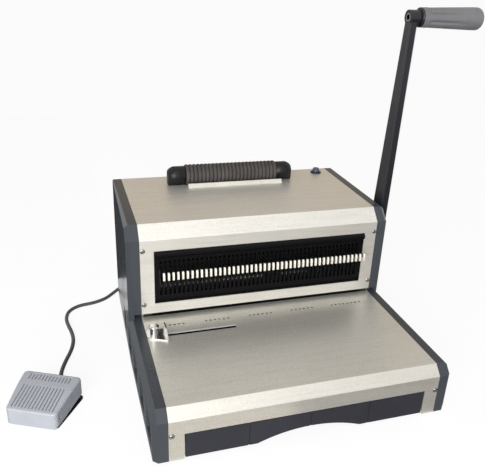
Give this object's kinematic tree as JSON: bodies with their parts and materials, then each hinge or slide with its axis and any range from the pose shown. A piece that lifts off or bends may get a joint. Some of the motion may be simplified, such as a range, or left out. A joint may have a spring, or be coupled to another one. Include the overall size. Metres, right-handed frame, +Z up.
{
  "type": "coil binding punch",
  "caption": "Desk machine that punches a row of round holes along a sheet's edge with a side lever; motor roller on top spins coils in, foot switch on a cord runs it.",
  "frame": {"origin": "on the desk, in the machine's middle plane, under the front face of the upper housing", "axes": "+X to the operator's right along the row of punches, +Y away from the operator, +Z up"},
  "size_m": [0.6605, 0.532, 0.486],
  "materials": {
    "cover_paint": "warm metallic satin paint with a fine grain",
    "panel_plastic": "dark grey moulded plastic, fine matt texture",
    "frame_steel": "zinc-plated sheet steel",
    "tool_steel": "ground tool steel",
    "nickel": "nickel-plated steel",
    "bronze": "sintered bronze",
    "black_plastic": "black moulded plastic",
    "drawer_plastic": "dark slate moulded plastic",
    "arm_paint": "dark grey powder coat",
    "grip_plastic": "grey moulded plastic",
    "sleeve_rubber": "dark brown-grey rubber",
    "black_rubber": "black rubber",
    "chrome": "bright chrome",
    "cream_strip": "bright satin strip",
    "button_plastic": "violet-grey plastic",
    "board_laminate": "green laminate",
    "pedal_plastic": "light blue-grey moulded plastic",
    "cord_jacket": "dark grey flexible jacket"
  },
  "bodies": {
    "housing": {"side_panel_left": "panel_plastic", "side_panel_right": "panel_plastic", "side_frame_left": "frame_steel", "side_frame_right": "frame_steel", "upper_cover": "cover_paint", "table_cover": "cover_paint", "rear_cover": "cover_paint", "base_plate": "frame_steel", "table_brace": "frame_steel", "die_bed": "frame_steel", "die_plate": "tool_steel", "guide_plate": "tool_steel", "die_spacers": "tool_steel", "paper_stop": "tool_steel", "pin_guard": "black_plastic", "ram_guides": "tool_steel", "shaft_bushes": "bronze", "cover_screws": "chrome", "feet": "black_rubber", "drawer_runners": "frame_steel", "drive_motor": "frame_steel", "motor_bracket": "frame_steel", "drive_belt": "black_rubber", "roller_cap_left": "black_plastic", "roller_cap_right": "black_plastic", "coil_rest": "cream_strip", "button_bezel": "black_plastic", "power_board": "board_laminate", "mains_inlet": "black_plastic", "cord_gland": "black_plastic", "return_springs": "frame_steel", "pedal_base": "panel_plastic", "pedal_pin": "chrome", "pedal_spring": "frame_steel", "pedal_switch": "black_plastic", "foot_cord_front": "cord_jacket", "foot_cord_coil": "cord_jacket", "foot_cord_rear": "cord_jacket"},
    "lever": {"lever_arm": "arm_paint", "drive_shaft": "tool_steel", "pinions": "tool_steel", "grip_bolt": "chrome"},
    "handgrip": {"grip": "grip_plastic"},
    "ram": {"pressure_bar": "tool_steel", "punches": "tool_steel", "pull_pins": "nickel", "racks": "tool_steel"},
    "first_pin": {"pull_pin_first": "nickel"},
    "last_pin": {"pull_pin_last": "nickel"},
    "roller": {"roller_sleeve": "sleeve_rubber", "roller_core": "tool_steel", "roller_pulley": "black_plastic"},
    "motor_drive": {"motor_pulley": "frame_steel"},
    "button": {"power_button": "button_plastic"},
    "guide": {"guide_bracket": "chrome", "guide_nut": "frame_steel"},
    "knob": {"guide_knob": "chrome"},
    "drawer": {"drawer_front": "drawer_plastic", "drawer_tray": "drawer_plastic"},
    "treadle": {"pedal_treadle": "pedal_plastic"}
  },
  "joints": [
    {"name": "lever_swing", "type": "hinge", "parent": "housing", "child": "lever", "pos_m": [0.2, 0.046, 0.163], "axis": [1, 0, 0], "range_deg": [0, 90], "stiffness_Nm_per_rad": 0.8, "springref_deg": -57.3},
    {"name": "ram_slide", "type": "slide", "parent": "housing", "child": "ram", "axis": [0, 0, -1], "range_m": [0, 0.0142], "deforming": ["return_springs"]},
    {"name": "grip_spin", "type": "hinge", "parent": "lever", "child": "handgrip", "pos_m": [0.26, 0.03, 0.471], "axis": [1, 0, 0], "continuous": true},
    {"name": "first_pin_pull", "type": "slide", "parent": "ram", "child": "first_pin", "axis": [0, -1, 0], "range_m": [0, 0.007]},
    {"name": "last_pin_pull", "type": "slide", "parent": "ram", "child": "last_pin", "axis": [0, -1, 0], "range_m": [0, 0.007]},
    {"name": "roller_turn", "type": "hinge", "parent": "housing", "child": "roller", "pos_m": [-0.0057, 0.168, 0.2206], "axis": [1, 0, 0], "continuous": true},
    {"name": "motor_turn", "type": "hinge", "parent": "housing", "child": "motor_drive", "pos_m": [-0.0897, 0.168, 0.165], "axis": [1, 0, 0], "continuous": true},
    {"name": "button_press", "type": "slide", "parent": "housing", "child": "button", "axis": [0, 0, -1], "range_m": [0, 0.0015], "stiffness_N_per_m": 300, "springref_m": -0.002},
    {"name": "guide_slide", "type": "slide", "parent": "housing", "child": "guide", "axis": [1, 0, 0], "range_m": [0, 0.109]},
    {"name": "knob_turn", "type": "hinge", "parent": "guide", "child": "knob", "pos_m": [-0.16515, -0.049, 0.08], "axis": [0, 0, 1], "range_deg": [0, 270]},
    {"name": "drawer_slide", "type": "slide", "parent": "housing", "child": "drawer", "axis": [0, -1, 0], "range_m": [0, 0.21]},
    {"name": "treadle_press", "type": "hinge", "parent": "housing", "child": "treadle", "pos_m": [-0.32051, -0.0956, 0.013], "axis": [-0.8996, 0.4368, 0], "range_deg": [0, 4], "stiffness_Nm_per_rad": 1, "springref_deg": -8.59}
  ],
  "couplings": [
    {"joint": "ram_slide", "follows": "lever_swing", "m_per_rad": 0.009},
    {"joint": "motor_turn", "follows": "roller_turn", "ratio": 1}
  ]
}
